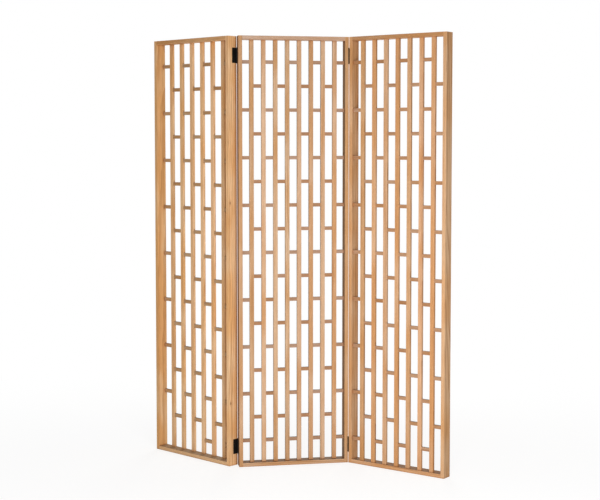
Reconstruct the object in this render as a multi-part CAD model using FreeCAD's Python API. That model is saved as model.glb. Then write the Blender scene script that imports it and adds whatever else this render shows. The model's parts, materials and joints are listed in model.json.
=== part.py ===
import FreeCAD, Part
import os

# A free-standing folding screen of three open wooden lattice panels, in millimetres.
# The middle panel stands across the X axis. Its front, the side that is looked at, faces -Y.
# The origin is on the floor, at the middle of the middle panel's underside, and +Z is up.
#
# Each panel is drawn in its own frame: u runs from its left end to its right end,
# v from its front face to its back, and z up from the floor.

Vector = FreeCAD.Vector

# ---------------------------------------------------------------- whole screen
panel_height = 1700.0
panel_width = 440.0
left_fold = 53.5                # degrees the left panel is turned away from straight
right_fold = 46.5               # degrees the right panel is turned away from straight

# ---------------------------------------------------------------- frame of a panel
frame_depth = 46.0
stile_face = 15.0               # width of an upright side piece, seen from the front
rail_face = 15.0                # height of the top or bottom piece, seen from the front
arris = 0.5                     # the long edges are planed off by this much
tenon_length = 11.0
tenon_thickness = 12.0
tenon_shoulder = 3.0            # the tenon stands back this far from the rail's top and underside

# ---------------------------------------------------------------- lattice
slat_face = 17.5
slat_depth = 11.0
slat_tenon = 8.0                # depth that a slat's end is let into the rail
rung_face = 14.0
rung_depth = 9.0
rung_seat = 3.0                 # depth that a rung's end is let into its slat
back_reveal = 2.0               # from the left panel's lattice to the back of its frame
front_reveal = 5.5              # from the front of the right panel's frame to its lattice
least_cell = 20.0               # no rung is set nearer to the bottom rail than this
even_bays = 9                   # rung spacings from rail to rail, in the middle and right panels
left_pitch = 193.0              # the left panel's rungs are set wider, so its lowest cell is short
left_last_lift = 18.0           # its lowest rungs are raised by this much

# ---------------------------------------------------------------- butt hinges
hinge_length = 60.0
hinge_inset = 45.0              # from the end of the panel to the hinge
leaf_thickness = 1.2            # the leaf is let into the stile by this much
leaf_reach = 25.0               # from the pin's axis to the leaf's free edge
leaf_corner = 3.0
end_gap = 0.6                   # between the end faces of two panels that stand in line
knuckle_count = 5
knuckle_radius = 2.5
knuckle_play = 0.2              # between two knuckles, along the pin
knuckle_clearance = 0.25        # from a knuckle to the wood and to the other leaf's cut-out
pin_offset = 0.6                # from the frame's face out to the pin's axis
pin_radius = 1.25
pin_clearance = 0.05
pin_head_radius = 2.1
pin_head_height = 1.2
pin_head_edge = 0.4
pin_head_room = 0.4             # from a pin's head to the wood above or below it

# ---------------------------------------------------------------- countersunk screws
screws_in_leaf = 3
screw_radius = 1.5
screw_head_radius = 2.6
screw_length = 10.0
screw_point = 3.0
screw_sink = 0.1                # the head lies this far under the leaf's face
screw_edge = 9.0                # from the leaf's end to the nearest screw
screw_row = 11.0                # from the leaf's free edge to the line of screws

# ---------------------------------------------------------------- worked out from the above
knuckle_pitch = hinge_length / knuckle_count
hinge_floors = {"lower": hinge_inset, "upper": panel_height - hinge_inset - hinge_length}
rail_floors = {"bottom": 0.0, "top": panel_height - rail_face}
lattice_at_back = frame_depth - back_reveal - slat_depth
lattice_in_middle = (frame_depth - slat_depth) / 2
lattice_at_front = front_reveal
rail_to_rail = panel_height - rail_face         # between the middles of the two rails
even_pitch = rail_to_rail / even_bays

# The left panel has no lowest rung in its bare columns.
panels = {
    "left": {"columns": 7, "pitch": left_pitch, "lattice": lattice_at_back,
             "bare_columns": (1, 3), "last_lift": left_last_lift},
    "middle": {"columns": 9, "pitch": even_pitch, "lattice": lattice_in_middle,
               "bare_columns": (), "last_lift": 0.0},
    "right": {"columns": 8, "pitch": even_pitch, "lattice": lattice_at_front,
              "bare_columns": (), "last_lift": 0.0},
}


# ---------------------------------------------------------------- plain shapes
def block(corner, size):
    return Part.makeBox(size[0], size[1], size[2], Vector(*corner))


def rod(radius, length, floor):
    return Part.makeCylinder(radius, length, Vector(0, 0, floor))


def eased_bar(corner, size, along):
    """A straight bar whose four long edges are planed off; along is the axis it runs on."""
    across, up = [axis for axis in range(3) if axis != along]
    width = size[across]
    height = size[up]
    outline = [(arris, 0), (width - arris, 0), (width, arris), (width, height - arris),
               (width - arris, height), (arris, height), (0, height - arris), (0, arris)]
    points = []
    for step_across, step_up in outline:
        point = list(corner)
        point[across] += step_across
        point[up] += step_up
        points.append(Vector(*point))
    points.append(points[0])
    run = [0, 0, 0]
    run[along] = size[along]
    return Part.Face(Part.makePolygon(points)).extrude(Vector(*run))


def turned(profile):
    """A solid of revolution about Z from (radius, height) points."""
    points = [Vector(radius, 0, height) for radius, height in profile]
    points.append(points[0])
    return Part.Face(Part.makePolygon(points)).revolve(Vector(0, 0, 0), Vector(0, 0, 1), 360)


# ---------------------------------------------------------------- layout of one panel's lattice
def column_gap(panel):
    slats = panel["columns"] - 1
    return (panel_width - 2 * stile_face - slats * slat_face) / panel["columns"]


def column_start(panel, column):
    """u of the left side of a column, counted from 1 at the left stile."""
    return stile_face + (column - 1) * (column_gap(panel) + slat_face)


def rung_heights(panel, column):
    """Heights of the rungs' middles, from the top rail down; odd columns start half a step up."""
    pitch = panel["pitch"]
    lowest = rail_to_rail - rail_face / 2 - least_cell - rung_face / 2
    drop = pitch / 2 if column % 2 else pitch
    heights = []
    while drop <= lowest:
        heights.append(panel_height - rail_face / 2 - drop)
        drop += pitch
    if column % 2:
        heights[-1] += panel["last_lift"]
    if column in panel["bare_columns"]:
        heights.pop()
    return heights


def column_rungs(panel, column):
    """The rungs of one column, each let into the members on its two sides."""
    start = column_start(panel, column) - rung_seat
    front = panel["lattice"] + (slat_depth - rung_depth) / 2
    size = (column_gap(panel) + 2 * rung_seat, rung_depth, rung_face)
    floors = [middle - rung_face / 2 for middle in rung_heights(panel, column)]
    return [block((start, front, floor), size) for floor in floors]


def slat(panel, number):
    """The upright between column number and the next, with a seat for each rung that meets it."""
    start = column_start(panel, number) + column_gap(panel)
    floor = rail_face - slat_tenon
    length = panel_height - 2 * floor
    bar = eased_bar((start, panel["lattice"], floor), (slat_face, slat_depth, length), 2)
    rungs = column_rungs(panel, number) + column_rungs(panel, number + 1)
    return bar.cut(Part.makeCompound(rungs))


# ---------------------------------------------------------------- frame of one panel
def tenons(floor):
    """The tongues at the two ends of a rail."""
    front = (frame_depth - tenon_thickness) / 2
    height = rail_face - 2 * tenon_shoulder
    starts = (stile_face - tenon_length, panel_width - stile_face)
    size = (tenon_length, tenon_thickness, height)
    return [block((start, front, floor + tenon_shoulder), size) for start in starts]


def rail(panel, floor):
    length = panel_width - 2 * stile_face
    bar = eased_bar((stile_face, 0, floor), (length, frame_depth, rail_face), 0)
    bar = bar.fuse(tenons(floor))
    at_top = floor > 0
    mortise_floor = floor if at_top else floor + rail_face - slat_tenon
    size = (slat_face, slat_depth, slat_tenon)
    mortises = []
    for number in range(1, panel["columns"]):
        start = column_start(panel, number) + column_gap(panel)
        mortises.append(block((start, panel["lattice"], mortise_floor), size))
    return bar.cut(Part.makeCompound(mortises))


def stile(panel, start, next_column, hinge_seats):
    """A side piece, with seats for the rails, for the rungs beside it and for hinges."""
    bar = eased_bar((start, 0, 0), (stile_face, frame_depth, panel_height), 2)
    seats = column_rungs(panel, next_column) + hinge_seats
    for floor in rail_floors.values():
        seats += tenons(floor)
    return bar.cut(Part.makeCompound(seats))


# ---------------------------------------------------------------- hinges
# A hinge is drawn about its pin, which stands on Z. With the panels in line, the leaf on the
# left panel's end lies at x below 0, and both leaves reach from the pin towards -Y.
def screw():
    """A countersunk wood screw with its head's face at height 0, pointing down."""
    head_depth = screw_head_radius - screw_radius
    profile = [(0, 0), (screw_head_radius, 0), (screw_radius, -head_depth),
               (screw_radius, screw_point - screw_length), (0, -screw_length)]
    return turned(profile)


def countersunk_hole():
    """The screw's own shape, with the open mouth above its head."""
    return screw().fuse(rod(screw_head_radius, screw_sink, 0))


def along_leaf(make):
    """What make() draws, at each screw of the leaf at x below 0, pointing towards -X into the wood."""
    pitch = (hinge_length - 2 * screw_edge) / (screws_in_leaf - 1)
    face = -end_gap / 2 - screw_sink
    row = screw_row - leaf_reach
    placed = []
    for number in range(screws_in_leaf):
        one = make()
        one.rotate(Vector(0, 0, 0), Vector(0, 1, 0), 90)
        one.translate(Vector(face, row, screw_edge + number * pitch))
        placed.append(one)
    return placed


def leaf_plate():
    """The flat of the leaf at x below 0, with its two free corners rounded."""
    back = -end_gap / 2 - leaf_thickness
    flat = block((back, -leaf_reach, 0), (leaf_thickness, leaf_reach, hinge_length))
    corners = []
    for edge in flat.Edges:
        low = edge.BoundBox
        if low.YMax < leaf_corner - leaf_reach and low.XLength > leaf_thickness / 2:
            corners.append(edge)
    return flat.makeFillet(leaf_corner, corners)


def leaf(first_knuckle, mirrored):
    """One leaf: its plate, every second knuckle, the pin's bore and the countersunk holes."""
    shape = leaf_plate()
    others = []
    for number in range(knuckle_count):
        floor = number * knuckle_pitch
        if number % 2 == first_knuckle:
            trim = knuckle_play / 2
            low = trim if number > 0 else 0.0
            high = trim if number < knuckle_count - 1 else 0.0
            shape = shape.fuse(rod(knuckle_radius, knuckle_pitch - low - high, floor + low))
        else:
            others.append(rod(knuckle_radius + knuckle_clearance, knuckle_pitch, floor))
    bore = rod(pin_radius + pin_clearance, hinge_length, 0)
    shape = shape.cut(Part.makeCompound(others + [bore] + along_leaf(countersunk_hole)))
    return mirror_in_x(shape) if mirrored else shape


def mirror_in_x(shape):
    return shape.mirror(Vector(0, 0, 0), Vector(1, 0, 0))


def pin():
    """The pin, with a low domed head on each end knuckle."""
    top = hinge_length + pin_head_height
    profile = [(0, -pin_head_height), (pin_head_radius - pin_head_edge, -pin_head_height),
               (pin_head_radius, pin_head_edge - pin_head_height), (pin_head_radius, 0), (pin_radius, 0),
               (pin_radius, hinge_length), (pin_head_radius, hinge_length),
               (pin_head_radius, top - pin_head_edge), (pin_head_radius - pin_head_edge, top), (0, top)]
    return turned(profile)


# ---------------------------------------------------------------- where things stand
# The left pin is behind the middle panel's left end and the right pin is in front of its right
# end, so the screen folds up as a zigzag.
left_pin = Vector(-(panel_width + end_gap) / 2, frame_depth / 2 + pin_offset, 0)
right_pin = Vector((panel_width + end_gap) / 2, -frame_depth / 2 - pin_offset, 0)


in_line = {
    "left": Vector(-panel_width * 1.5 - end_gap, -frame_depth / 2, 0),
    "middle": Vector(-panel_width / 2, -frame_depth / 2, 0),
    "right": Vector(panel_width / 2 + end_gap, -frame_depth / 2, 0),
}


def set_panel(shape, side):
    """Move a shape from its panel's frame to where the panel stands."""
    shape.translate(in_line[side])
    return fold(shape, side)


def fold(shape, side):
    """Turn a shape of a side panel about its pin, from straight to the way the screen stands."""
    if side == "left":
        shape.rotate(left_pin, Vector(0, 0, 1), -left_fold)
    if side == "right":
        shape.rotate(right_pin, Vector(0, 0, 1), -right_fold)
    return shape


def set_hinge(shape, joint, floor):
    """Move a shape from the hinge's frame to a joint, with the panels in line."""
    if joint == "right":
        shape.rotate(Vector(0, 0, 0), Vector(0, 0, 1), 180)
    shape.translate(left_pin if joint == "left" else right_pin)
    shape.translate(Vector(0, 0, floor))
    return shape


def leaf_screws():
    return along_leaf(screw)


def barrel_room():
    """The hollow in a stile's corner in which the knuckles and the pin's heads turn."""
    extra = pin_head_height + pin_head_room
    return rod(knuckle_radius + knuckle_clearance, hinge_length + 2 * extra, -extra)


def leaf_seats():
    """What a leaf, its screws and its hinge's barrel take out of a stile."""
    return leaf_screws() + [leaf_plate(), barrel_room()]


def in_joint(make, joint, on_side):
    """What make() draws for one leaf, at both hinges of a joint, with the panels in line."""
    placed = []
    for floor in hinge_floors.values():
        for one in make():
            one = one if on_side else mirror_in_x(one)
            placed.append(set_hinge(one, joint, floor))
    return placed


def seats_in_stile(joint, on_side):
    """The seats of a joint's leaves in the frame of the panel that carries them."""
    side = joint if on_side else "middle"
    shapes = in_joint(leaf_seats, joint, on_side)
    for one in shapes:
        one.translate(-in_line[side])
    return shapes


def seats_of_panel(side):
    """The hinge seats in a panel's left stile, and those in its right stile."""
    if side == "left":
        return [], seats_in_stile("left", True)
    if side == "right":
        return seats_in_stile("right", True), []
    return seats_in_stile("left", False), seats_in_stile("right", False)


# ---------------------------------------------------------------- the pieces, by name
def panel_pieces(side):
    panel = panels[side]
    last = panel["columns"]
    far = panel_width - stile_face
    left_seats, right_seats = seats_of_panel(side)
    pieces = {
        side + "_panel_left_stile": stile(panel, 0, 1, left_seats),
        side + "_panel_right_stile": stile(panel, far, last, right_seats),
    }
    for name, floor in rail_floors.items():
        pieces[side + "_panel_" + name + "_rail"] = rail(panel, floor)
    for number in range(1, last):
        pieces[side + "_panel_slat_" + str(number)] = slat(panel, number)
    for name, first in (("odd", 1), ("even", 2)):
        rungs = []
        for column in range(first, last + 1, 2):
            rungs += column_rungs(panel, column)
        pieces[side + "_panel_rungs_" + name + "_columns"] = Part.makeCompound(rungs)
    return {name: set_panel(shape, side) for name, shape in pieces.items()}


def hinge_pieces(joint):
    """Two hinges: the leaf with the outer knuckles and the pin stay with the middle panel."""
    pieces = {}
    for name, floor in hinge_floors.items():
        stem = joint + "_joint_" + name + "_hinge_"
        pieces[stem + "middle_leaf"] = set_hinge(leaf(0, True), joint, floor)
        pieces[stem + "side_leaf"] = fold(set_hinge(leaf(1, False), joint, floor), joint)
        pieces[stem + "pin"] = set_hinge(pin(), joint, floor)
    middle_screws = Part.makeCompound(in_joint(leaf_screws, joint, False))
    side_screws = Part.makeCompound(in_joint(leaf_screws, joint, True))
    pieces[joint + "_joint_middle_screws"] = middle_screws
    pieces[joint + "_joint_side_screws"] = fold(side_screws, joint)
    return pieces


def build():
    pieces = {}
    for side in panels:
        pieces.update(panel_pieces(side))
    for joint in ("left", "right"):
        pieces.update(hinge_pieces(joint))
    return pieces


os.makedirs("parts", exist_ok=True)
for name, shape in build().items():
    shape.exportStep(os.path.join("parts", name + ".step"))
    print(name, "solids", len(shape.Solids), "volume cm3", round(shape.Volume / 1000, 2))
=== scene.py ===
import json
import math
import random

import bmesh
import bpy
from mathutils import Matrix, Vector


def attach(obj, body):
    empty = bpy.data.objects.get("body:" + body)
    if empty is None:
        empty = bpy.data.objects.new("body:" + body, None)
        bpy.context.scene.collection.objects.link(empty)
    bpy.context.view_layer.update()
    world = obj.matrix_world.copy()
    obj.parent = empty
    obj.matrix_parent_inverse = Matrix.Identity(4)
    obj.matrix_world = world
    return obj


# The looks of a folding lattice screen: natural softwood panels on black steel butt hinges.
# All sizes are in metres. The middle panel stands across X and its front faces -Y.

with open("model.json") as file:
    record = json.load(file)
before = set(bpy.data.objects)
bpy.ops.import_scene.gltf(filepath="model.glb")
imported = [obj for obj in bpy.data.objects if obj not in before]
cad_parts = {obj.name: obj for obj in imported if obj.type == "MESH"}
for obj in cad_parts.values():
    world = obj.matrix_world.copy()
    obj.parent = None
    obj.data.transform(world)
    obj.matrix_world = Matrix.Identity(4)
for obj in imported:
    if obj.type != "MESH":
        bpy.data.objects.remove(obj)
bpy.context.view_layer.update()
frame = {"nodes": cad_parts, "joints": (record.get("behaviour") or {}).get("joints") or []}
nodes = frame["nodes"]

# ---------------------------------------------------------------- the view
camera_place = Vector((-0.903, -5.087, 1.288))
camera_turn = 10.37             # degrees the camera looks to the right of +Y
camera_dip = 3.44               # degrees it looks down
camera_lens = 78.33             # mm, as is the sensor's width
camera_sensor = 36.0
camera_shift = -0.05

# ---------------------------------------------------------------- the light
screen_centre = Vector((0.0, 0.0, 0.85))
lamp_width = 1.2
lamp_height = 1.4
front_lamp_place = Vector((-0.15, -2.8, 0.78))
front_lamp_power = 59.0
rear_lamp_place = Vector((0.9, 3.0, 1.3))
rear_lamp_power = 34.0
white = (1.0, 1.0, 1.0, 1.0)
ambient = 0.36                  # the world's light; looked at, it is plain white

# ---------------------------------------------------------------- the white floor
# It lights the screen as white paint does. The camera sees it plain white far off, and near the
# screen as a glow plus the light that falls on it, so that the shadow stays.
floor_reach = 60.0
floor_height = -0.0005
floor_paint = (0.86, 0.86, 0.86, 1.0)
floor_roughness = 0.9
floor_span = (0.5, 2.4)         # near and far, from the middle of the screen
floor_glow = (0.78, 1.0)        # near and far, as are the next
floor_lit = (0.32, 0.0)

# ---------------------------------------------------------------- wood: colours
wood_pale = (0.84, 0.56, 0.32, 1.0)
wood_warm = (0.74, 0.40, 0.165, 1.0)
wood_late = (0.42, 0.175, 0.055, 1.0)      # the dark side of each growth ring
wood_knot = (0.20, 0.08, 0.03, 1.0)
painted_corner_shade = (0.34, 0.12, 0.03, 1.0)      # painted shade in the inner corners, where less light reaches

# Each panel is from another board: a tint for its wood, which also paints light, as it makes each
# panel brighter or darker as the light falls on it; and how dark the painted shade on its members'
# narrow sides is.
untinted = (1.0, 1.0, 1.0)
panel_tint_and_painted_light = {
    "left": (1.06, 1.06, 1.06),
    "middle": (0.80, 0.80, 0.90),
    "right": (0.89, 0.845, 0.87),
}
# painted shade on the narrow sides, darker where less light reaches them
side_shade = {"left": 0.96, "middle": 0.62, "right": 0.82}
slat_side_shade = {"left": 0.96, "middle": 0.48, "right": 0.80}
rung_tint = {
    "left": (0.62, 0.61, 0.63),
    "middle": (0.68, 0.67, 0.75),
    "right": (0.74, 0.73, 0.79),
}
rung_top_shade = 0.33           # little light comes down between the slats
rail_top_shade = 0.50           # on the bottom rails
member_tint_and_painted_light = {
    "left_panel_top_rail": (0.86, 0.80, 0.72),
    "middle_panel_top_rail": (0.92, 0.97, 1.08),
    "right_panel_top_rail": (0.86, 0.82, 0.78),
    # painted light: the left panel's right stile is brighter, as its broad end catches more light
    "left_panel_right_stile": (1.05, 1.06, 1.05),
}
tone_spread = (0.93, 1.07)      # drawn once for each member
tint_spread = (0.985, 1.015)    # drawn for each of its three colours
warmth_most = 0.10              # how far a member leans to the pale or to the warm wood
facing_span = (0.75, 0.95)      # how squarely a face looks along an axis before it is shaded

# ---------------------------------------------------------------- wood: grain
heart_nearest = 0.05            # from the member to the heart of its tree
heart_range = 0.05
cut_range = 3.0                 # where along its tree a member is taken, either way
saw_slope = 0.012               # radians at most, about each axis across the grain
ring_spacing = 0.0036
ring_scale = math.pi / 10 / ring_spacing
ring_sway = (0.012, 0.012, 0.0)
late_span = (0.35, 0.98)        # where in a ring its dark side begins and is full
late_strength = (0.15, 0.80)    # between the streaks and in them
streak_span = (0.3, 0.75)
fibre_width = 0.0007
fibre_length = 0.045
fibre_span = (0.25, 0.75)
fibre_shade = (0.84, 1.08)
cloud_span = (0.3, 0.7)
band_span = (0.50, 0.78)
band_strength = (0.0, 0.42)
# waves to the metre, across the grain both ways and along it
sway_waves = (9.0, 9.0, 2.2)
fibre_waves = (1 / fibre_width, 1 / fibre_width, 1 / fibre_length)
streak_waves = (260.0, 260.0, 3.0)
cloud_waves = (14.0, 14.0, 4.5)
band_waves = (95.0, 95.0, 1.3)

# ---------------------------------------------------------------- wood: painted corner shade, worn and highlighted edges, finish
# painted shade: the wood darkens in the inner corners, where less light reaches
corner_reach = 0.011
corner_samples = 8
corner_span = (0.45, 0.92)      # how open a place is to light from all round
corner_strength = (0.60, 0.0)
# the outer edges are paler: wear, and a painted highlight along each arris
edge_reach = 0.0012
edge_wear_and_highlight = 0.40
edge_polish = 0.12              # how much smoother a worn edge is
wood_roughness = (0.64, 0.80)
roughness_span = (0.2, 0.8)
wood_ior = 1.45
wood_specular = 0.10
fibre_relief = 0.6
late_relief = 0.4
wood_relief = 0.0002

# ---------------------------------------------------------------- wood: knots
# Two small knots in the broad end of the left panel's right stile: the middle and the width.
left_stile_knots = (
    ((0.0, -0.014, 1.046), 0.0034),
    ((0.0, -0.014, 0.251), 0.0036),
)
knot_length = 2.0               # times its width
swell_span = (0.2, 3.2)         # from the knot's middle, in widths, as are the next two
knot_span = (0.5, 1.3)
halo_span = (0.9, 3.0)
swell = -0.75                   # how far the grain is pushed aside
knot_strength = (0.85, 0.0)
halo_strength = (0.28, 0.0)
knot_raggedness = 0.3

# ---------------------------------------------------------------- black steel
leaf_black = (0.0045, 0.0038, 0.0032, 1.0)
pin_black = (0.008, 0.007, 0.006, 1.0)
screw_black = (0.014, 0.012, 0.011, 1.0)
# painted shade of the screws' recesses
recess_shade_black = (0.0012, 0.0010, 0.0009, 1.0)
patch_black = (0.010, 0.0085, 0.007, 1.0)
bare_steel = (0.12, 0.11, 0.10, 1.0)
grit_waves = 260.0
patch_waves = 45.0
patch_span = (0.3, 0.7)
worn_patch_span = (0.42, 0.62)  # only these patches of the edges are worn
steel_edge = 0.0005
steel_edge_span = (0.05, 0.5)
grit_span = (0.3, 0.7)
steel_roughness = (0.44, 0.62)
steel_specular = 0.22
bare_metallic = 0.8
steel_relief = 0.00004

# ---------------------------------------------------------------- the crosses in the screws' heads
# flat, nearly black crosses stand for the recesses: painted shade, as no hollow is cut
screw_apart = 0.004             # screws of one node are further apart than this in height
cross_reach = 0.00150
cross_half_width = 0.00034
cross_foot = -0.00006           # below the head's face
cross_top = 0.00004             # above it, and still below the leaf's face

# ---------------------------------------------------------------- the panels as they stand
# Each side panel is folded from straight by the angle that its hinges can open again.
pivots = {joint["child"]: tuple(joint["pos_m"]) for joint in frame["joints"]}
folds = {joint["child"]: joint["range_deg"][1] for joint in frame["joints"]}


# ---------------------------------------------------------------- small helpers for materials
class Tree:
    """A material's nodes, with short ways to add and join them."""

    def __init__(self, name):
        self.material = bpy.data.materials.new(name)
        self.material.use_nodes = True
        self.nodes = self.material.node_tree.nodes
        self.links = self.material.node_tree.links
        self.shader = self.nodes["Principled BSDF"]

    def add(self, kind, **settings):
        node = self.nodes.new("ShaderNode" + kind)
        for key, value in settings.items():
            setattr(node, key, value)
        return node

    def feed(self, node, **inputs):
        """Set or link a node's inputs, by name or as i0, i1 and so on by number.

        A space in a name is written as an underscore."""
        for key, value in inputs.items():
            by_number = key[1:].isdigit()
            socket = node.inputs[int(key[1:]) if by_number else key.replace("_", " ")]
            if isinstance(value, bpy.types.NodeSocket):
                self.links.new(value, socket)
            else:
                socket.default_value = value
        return node

    def math(self, operation, a, b=0.0):
        node = self.add("Math", operation=operation)
        return self.feed(node, i0=a, i1=b).outputs[0]

    def vector(self, operation, a, b=(0.0, 0.0, 0.0)):
        node = self.feed(self.add("VectorMath", operation=operation), i0=a, i1=b)
        return node.outputs["Value" if operation in ("LENGTH", "DOT_PRODUCT") else "Vector"]

    def scaled(self, vector, factors):
        return self.vector("MULTIPLY", vector, factors)

    def stretched(self, vector, factor):
        node = self.add("VectorMath", operation="SCALE")
        return self.feed(node, i0=vector, Scale=factor).outputs[0]

    def noise(self, vector, scale=1.0, detail=2.0, roughness=0.5):
        node = self.add("TexNoise")
        return self.feed(node, Vector=vector, Scale=scale, Detail=detail, Roughness=roughness)

    def spread(self, value, span, to=(0.0, 1.0)):
        """A value read on a smooth step over a span."""
        node = self.add("MapRange", interpolation_type="SMOOTHSTEP")
        self.feed(node, Value=value, From_Min=span[0], From_Max=span[1])
        return self.feed(node, To_Min=to[0], To_Max=to[1]).outputs["Result"]

    def mix(self, factor, first, second):
        node = self.add("Mix", data_type="RGBA")
        return self.feed(node, i0=factor, i6=first, i7=second).outputs[2]

    def outer_edges(self, reach, span=(0.02, 0.35)):
        """1 on the outer edges of a piece and 0 on its faces."""
        bevel = self.feed(self.add("Bevel", samples=4), Radius=reach)
        normal = self.add("NewGeometry").outputs["Normal"]
        facing = self.vector("DOT_PRODUCT", bevel.outputs[0], normal)
        return self.spread(self.math("SUBTRACT", 1.0, facing), span)

    def bump(self, height, distance, strength=0.6):
        node = self.feed(self.add("Bump"), Height=height, Distance=distance, Strength=strength)
        self.links.new(node.outputs[0], self.shader.inputs["Normal"])


def sees_background(tree):
    """1 for rays that look at the background, straight, in a polished face or through glass."""
    rays = tree.nodes.new("ShaderNodeLightPath")
    seen = rays.outputs["Is Camera Ray"]
    for kind in ("Is Glossy Ray", "Is Transmission Ray"):
        either = tree.nodes.new("ShaderNodeMath")
        either.operation = "MAXIMUM"
        tree.links.new(seen, either.inputs[0])
        tree.links.new(rays.outputs[kind], either.inputs[1])
        seen = either.outputs[0]
    return seen


def steady(name):
    """A random source that gives the same numbers for a name on every run."""
    return random.Random(name)


def give(node_name, material):
    slots = nodes[node_name].data.materials
    slots.clear()
    slots.append(material)


def make_object(name, mesh, material):
    """Turn a finished bmesh into an object of the scene."""
    data = bpy.data.meshes.new(name)
    mesh.to_mesh(data)
    mesh.free()
    data.materials.append(material)
    made = bpy.data.objects.new(name, data)
    bpy.context.scene.collection.objects.link(made)
    return made


# ---------------------------------------------------------------- wood
def panel_space(tree, side, kind="Object"):
    """Places or normals on a panel as if the screen stood in line, so that grain can follow it."""
    found = tree.add("TexCoord").outputs[kind]
    panel = side + "_panel"
    if panel not in pivots:
        return found
    turn = tree.add("VectorRotate", rotation_type="Z_AXIS")
    tree.feed(turn, Vector=found, Angle=math.radians(folds[panel]))
    if kind == "Object":
        tree.feed(turn, Center=pivots[panel])
    return turn.outputs[0]


def looks_along(tree, side, axis):
    """1 on the faces that look along an axis of their panel, either way, and 0 on the others."""
    parts = tree.feed(tree.add("SeparateXYZ"), Vector=panel_space(tree, side, "Normal"))
    return tree.spread(tree.math("ABSOLUTE", parts.outputs[axis]), facing_span)


def along_z(tree, place):
    """Turn places so that a member that runs along X runs along Z."""
    turn = tree.add("VectorRotate", rotation_type="Y_AXIS")
    return tree.feed(turn, Vector=place, Angle=math.radians(-90)).outputs[0]


def push_aside(tree, place, centre, width):
    """Push the grain away from a knot that runs along X; also the distance from it in widths."""
    from_centre = tree.vector("SUBTRACT", place, centre)
    away = tree.scaled(from_centre, (0.0, 1.0, 0.0))
    widths = tree.scaled(from_centre, (0.0, 1 / width, 1 / width / knot_length))
    distance = tree.vector("LENGTH", widths)
    share = tree.math("MULTIPLY", tree.spread(distance, swell_span, (1.0, 0.0)), swell)
    return tree.vector("ADD", place, tree.stretched(away, share)), distance


def sawn_grain(tree, place, dice):
    """Places in the tree that a member was sawn from, with its heart on Z, and these askew."""
    heart_turn = dice.uniform(0, 2 * math.pi)
    heart = heart_nearest + heart_range * dice.random()
    cut = dice.uniform(-cut_range, cut_range)
    offset = (heart * math.cos(heart_turn), heart * math.sin(heart_turn), cut)
    moved = tree.vector("ADD", place, offset)
    lean = tree.feed(tree.add("Mapping"), Vector=moved)
    slopes = [dice.uniform(-saw_slope, saw_slope) for _ in range(2)]
    lean.inputs["Rotation"].default_value = (*slopes, 0)
    return moved, lean.outputs[0]


def wood(name, side, runs_across, knots, tint_and_light, shaded):
    """Planed softwood with its grain along the member: growth rings and fibres, edges paler from
    wear and a painted highlight, and painted shade in the inner corners.

    shaded lists the axes of the panel whose faces are darker, each with how dark they are."""
    tree = Tree(name)
    dice = steady(name)
    place = panel_space(tree, side)
    knot_distances = []
    for centre, width in knots:
        place, distance = push_aside(tree, place, centre, width)
        knot_distances.append(distance)
    if runs_across:
        place = along_z(tree, place)
    moved, grain = sawn_grain(tree, place, dice)

    # the patterns of the grain
    sway = tree.noise(tree.scaled(grain, sway_waves), detail=3.0)
    centred = tree.vector("SUBTRACT", sway.outputs["Color"], (0.5, 0.5, 0.5))
    grain = tree.vector("ADD", grain, tree.scaled(centred, ring_sway))
    rings = tree.add("TexWave", wave_type="RINGS", rings_direction="Z", wave_profile="SAW")
    tree.feed(rings, Vector=grain, Scale=ring_scale, Distortion=0.0, Detail=0.0)
    late = tree.spread(rings.outputs["Fac"], late_span)
    fibres = tree.noise(tree.scaled(grain, fibre_waves), detail=3.0, roughness=0.6).outputs["Fac"]
    streaks = tree.noise(tree.scaled(grain, streak_waves)).outputs["Fac"]
    clouds = tree.noise(tree.scaled(moved, cloud_waves)).outputs["Fac"]
    bands = tree.noise(tree.scaled(grain, band_waves)).outputs["Fac"]

    # the wood's own colour
    warmth = dice.uniform(-warmth_most, warmth_most)
    warm_span = [end + warmth for end in cloud_span]
    colour = tree.mix(tree.spread(clouds, warm_span), wood_pale, wood_warm)
    dark = tree.math("MULTIPLY", late, tree.spread(streaks, streak_span, late_strength))
    colour = tree.mix(dark, colour, wood_late)
    colour = tree.mix(tree.spread(bands, band_span, band_strength), colour, wood_late)
    shade = tree.spread(fibres, fibre_span, fibre_shade)
    for axis, darkest in shaded:
        facing = looks_along(tree, side, axis)
        shade = tree.math("MULTIPLY", shade, tree.spread(facing, (0.0, 1.0), (1.0, darkest)))
    # the tint holds the wood's own tone and the panels' painted light
    colour = tree.stretched(tree.scaled(colour, tint_and_light), shade)
    for distance in knot_distances:
        ragged = tree.math("ADD", distance, tree.math("MULTIPLY", clouds, knot_raggedness))
        colour = tree.mix(tree.spread(ragged, knot_span, knot_strength), colour, wood_knot)
        colour = tree.mix(tree.spread(ragged, halo_span, halo_strength), colour, wood_late)

    # painted shade in the inner corners; the outer edges paler from wear and a painted highlight
    open_to_light = tree.add("AmbientOcclusion", samples=corner_samples)
    tree.feed(open_to_light, Distance=corner_reach)
    corner = tree.spread(open_to_light.outputs["AO"], corner_span, corner_strength)
    colour = tree.mix(corner, colour, painted_corner_shade)
    # the outer edges paler: wear, and a painted highlight along each arris
    edge = tree.outer_edges(edge_reach)
    colour = tree.mix(tree.math("MULTIPLY", edge, edge_wear_and_highlight), colour, wood_pale)
    rough = tree.spread(fibres, roughness_span, wood_roughness)
    rough = tree.math("SUBTRACT", rough, tree.math("MULTIPLY", edge, edge_polish))
    tree.feed(tree.shader, Base_Color=colour, Roughness=rough)
    tree.shader.inputs["IOR"].default_value = wood_ior
    tree.shader.inputs["Specular IOR Level"].default_value = wood_specular
    relief = tree.math("ADD", tree.math("MULTIPLY", fibres, fibre_relief),
                       tree.math("MULTIPLY", late, late_relief))
    tree.bump(relief, wood_relief)
    return tree.material


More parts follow.
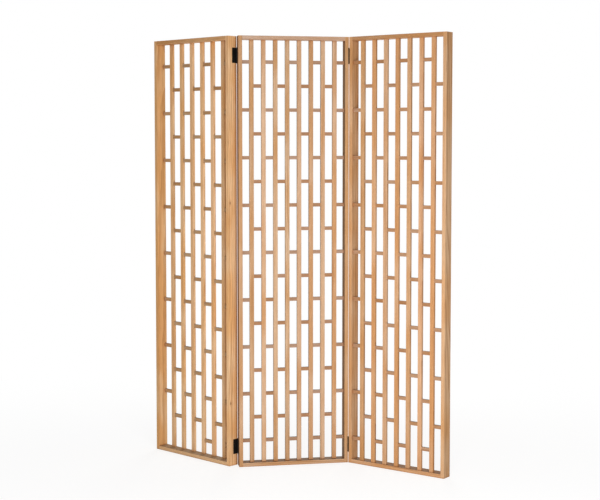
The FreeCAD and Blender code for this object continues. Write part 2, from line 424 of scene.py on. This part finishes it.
# ---------------------------------------------------------------- black steel
def black_steel(name, colour):
    """Black lacquered steel, a little uneven, with bright metal showing at worn edges."""
    tree = Tree(name)
    place = tree.add("TexCoord").outputs["Object"]
    grit = tree.noise(place, grit_waves, 4.0, 0.6).outputs["Fac"]
    patches = tree.noise(place, patch_waves).outputs["Fac"]
    edge = tree.math("MULTIPLY", tree.outer_edges(steel_edge, steel_edge_span),
                     tree.spread(patches, worn_patch_span))
    base = tree.mix(tree.spread(patches, patch_span), colour, patch_black)
    tree.feed(tree.shader, Base_Color=tree.mix(edge, base, bare_steel))
    tree.feed(tree.shader, Roughness=tree.spread(grit, grit_span, steel_roughness))
    tree.shader.inputs["Specular IOR Level"].default_value = steel_specular
    tree.feed(tree.shader, Metallic=tree.math("MULTIPLY", edge, bare_metallic))
    tree.bump(grit, steel_relief, 0.5)
    return tree.material


# ---------------------------------------------------------------- dress every piece
def dress_wood():
    for name in sorted(nodes):
        if "_panel_" not in name:
            continue
        side, piece = name.split("_panel_")
        across = "rail" in piece or "rungs" in piece
        knots = left_stile_knots if name == "left_panel_right_stile" else ()
        dice = steady(name + "tone")
        tone = dice.uniform(*tone_spread)
        tint_and_light = [tone * part * dice.uniform(*tint_spread) for part in panel_tint_and_painted_light[side]]
        tint_and_light = [part * own for part, own in zip(tint_and_light, member_tint_and_painted_light.get(name, untinted))]
        # painted shade on the narrow sides of the members, and on the tops and undersides of the
        # rungs and bottom rails
        shaded = [(0, (slat_side_shade if "slat" in piece else side_shade)[side])]
        if "rungs" in piece:
            tint_and_light = [part * own for part, own in zip(tint_and_light, rung_tint[side])]
            shaded = [(2, rung_top_shade)]
        if piece == "bottom_rail":
            shaded.append((2, rail_top_shade))
        give(name, wood(name + "_wood", side, across, knots, tint_and_light, shaded))


def dress_hinges():
    steels = {
        "_leaf": black_steel("hinge_black", leaf_black),
        "_pin": black_steel("pin_black", pin_black),
        "_screws": black_steel("screw_black", screw_black),
    }
    for name in sorted(nodes):
        for ending, steel in steels.items():
            if name.endswith(ending):
                give(name, steel)


# ---------------------------------------------------------------- crosses in the screws' heads
def screw_heads(node_name):
    """The middle and the outward direction of each screw's flat head."""
    mesh = nodes[node_name].data
    faces = sorted(mesh.polygons, key=lambda face: face.center.z)
    screws = []
    last_height = None
    for face in faces:
        if last_height is None or face.center.z - last_height > screw_apart:
            screws.append({})
        last_height = face.center.z
        direction = tuple(round(part, 2) for part in face.normal)
        screws[-1].setdefault(direction, []).append(face)
    heads = []
    for directions in screws:
        flat = max(directions.values(), key=lambda faces: sum(face.area for face in faces))
        area = sum(face.area for face in flat)
        middle = sum((face.center * face.area for face in flat), Vector()) / area
        heads.append((middle, flat[0].normal.copy()))
    return heads


def add_cross(mesh, middle, outward, turn):
    """One cross as a closed prism with twelve sides."""
    upright = Vector((0, 0, 1))
    across = upright.cross(outward).normalized()
    first = across * math.cos(turn) + upright * math.sin(turn)
    second = outward.cross(first).normalized()
    w, r = cross_half_width, cross_reach
    outline = ((r, -w), (r, w), (w, w), (w, r), (-w, r), (-w, w),
               (-r, w), (-r, -w), (-w, -w), (-w, -r), (w, -r), (w, -w))
    rims = []
    for height in (cross_foot, cross_top):
        base = middle + outward * height
        rims.append([mesh.verts.new(base + first * a + second * b) for a, b in outline])
    low, high = rims
    mesh.faces.new(list(reversed(low)))
    mesh.faces.new(high)
    for i in range(len(outline)):
        j = (i + 1) % len(outline)
        mesh.faces.new((low[i], low[j], high[j], high[i]))


def make_crosses():
    # painted shade: a flat cross darker than the screw stands for each recess's hollow
    recess_shade = black_steel("screw_recess_shade", recess_shade_black)
    for name in sorted(nodes):
        if not name.endswith("_screws"):
            continue
        dice = steady(name + "crosses")
        mesh = bmesh.new()
        for middle, outward in screw_heads(name):
            add_cross(mesh, middle, outward, dice.uniform(0, math.pi / 2))
        bmesh.ops.recalc_face_normals(mesh, faces=mesh.faces)
        crosses = make_object(name + "_crosses", mesh, recess_shade)
        joint = name.split("_joint_")[0]
        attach(crosses, "middle_panel" if "_middle_" in name else joint + "_panel")


# ---------------------------------------------------------------- floor, light and camera
def floor_white():
    tree = Tree("floor_white")
    tree.shader.inputs["Base Color"].default_value = floor_paint
    tree.shader.inputs["Roughness"].default_value = floor_roughness
    tree.shader.inputs["Specular IOR Level"].default_value = 0.0
    from_middle = tree.vector("LENGTH", tree.add("TexCoord").outputs["Object"])
    strength = tree.spread(from_middle, floor_span, floor_glow)
    glow = tree.feed(tree.add("Emission"), Color=white, Strength=strength)
    lit = tree.spread(from_middle, floor_span, floor_lit)
    shadowed = tree.feed(tree.add("BsdfDiffuse"), Color=lit)
    seen = tree.feed(tree.add("AddShader"), i0=shadowed.outputs[0], i1=glow.outputs[0])
    mixed = tree.feed(tree.add("MixShader"), i0=sees_background(tree),
                      i1=tree.shader.outputs[0], i2=seen.outputs[0])
    tree.links.new(mixed.outputs[0], tree.nodes["Material Output"].inputs["Surface"])
    return tree.material


def make_floor():
    mesh = bmesh.new()
    bmesh.ops.create_grid(mesh, x_segments=1, y_segments=1, size=floor_reach)
    floor = make_object("floor", mesh, floor_white())
    floor.location = (0, 0, floor_height)


def make_softbox(name, place, power):
    """A broad lamp that looks at the screen."""
    lamp = bpy.data.lights.new(name, "AREA")
    lamp.shape = "RECTANGLE"
    lamp.size = lamp_width
    lamp.size_y = lamp_height
    lamp.energy = power
    box = bpy.data.objects.new(name, lamp)
    box.location = place
    box.rotation_euler = (screen_centre - place).to_track_quat("-Z", "Y").to_euler()
    box.visible_camera = False
    bpy.context.scene.collection.objects.link(box)


def make_world():
    """A soft light from all round that looks plain white."""
    world = bpy.data.worlds.new("studio")
    world.use_nodes = True
    tree = world.node_tree
    tree.nodes.clear()
    mixed = tree.nodes.new("ShaderNodeMixShader")
    tree.links.new(sees_background(tree), mixed.inputs[0])
    for strength, socket in ((ambient, mixed.inputs[1]), (1.0, mixed.inputs[2])):
        background = tree.nodes.new("ShaderNodeBackground")
        background.inputs["Color"].default_value = white
        background.inputs["Strength"].default_value = strength
        tree.links.new(background.outputs[0], socket)
    output = tree.nodes.new("ShaderNodeOutputWorld")
    tree.links.new(mixed.outputs[0], output.inputs["Surface"])
    bpy.context.scene.world = world


def make_camera():
    data = bpy.data.cameras.new("camera")
    data.sensor_width = camera_sensor
    data.lens = camera_lens
    data.shift_y = camera_shift
    camera = bpy.data.objects.new("camera", data)
    camera.location = camera_place
    camera.rotation_euler = (math.radians(90 - camera_dip), 0, math.radians(-camera_turn))
    bpy.context.scene.collection.objects.link(camera)
    bpy.context.scene.camera = camera


dress_wood()
dress_hinges()
make_crosses()
make_floor()
make_softbox("front_softbox", front_lamp_place, front_lamp_power)
make_softbox("rear_softbox", rear_lamp_place, rear_lamp_power)
make_world()
make_camera()
bpy.context.scene.view_settings.view_transform = "Standard"
